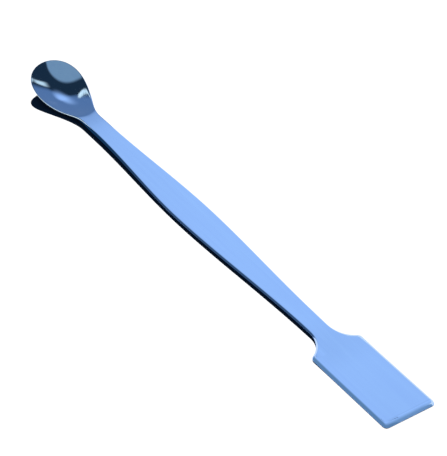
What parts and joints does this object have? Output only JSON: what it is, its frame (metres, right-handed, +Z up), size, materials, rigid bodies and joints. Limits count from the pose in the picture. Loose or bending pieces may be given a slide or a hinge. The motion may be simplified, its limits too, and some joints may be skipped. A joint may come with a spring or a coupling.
{
  "type": "laboratory spatula",
  "caption": "Solid steel laboratory spatula with an egg-shaped bowl, a slim handle that swells in the middle and a flat square-ended blade.",
  "frame": {"origin": "on the bench the spatula rests on, under the middle of its length", "axes": "+X along the spatula from the bowl towards the blade, +Y across it, +Z up from the bench, with the hollow of the bowl facing up"},
  "size_m": [0.18, 0.0164, 0.0074],
  "materials": {
    "polished_steel": "bright polished steel with a blue tint, a mirror in the bowl and finely lined along the handle"
  },
  "bodies": {
    "root": {"spatula": "polished_steel"}
  },
  "joints": []
}
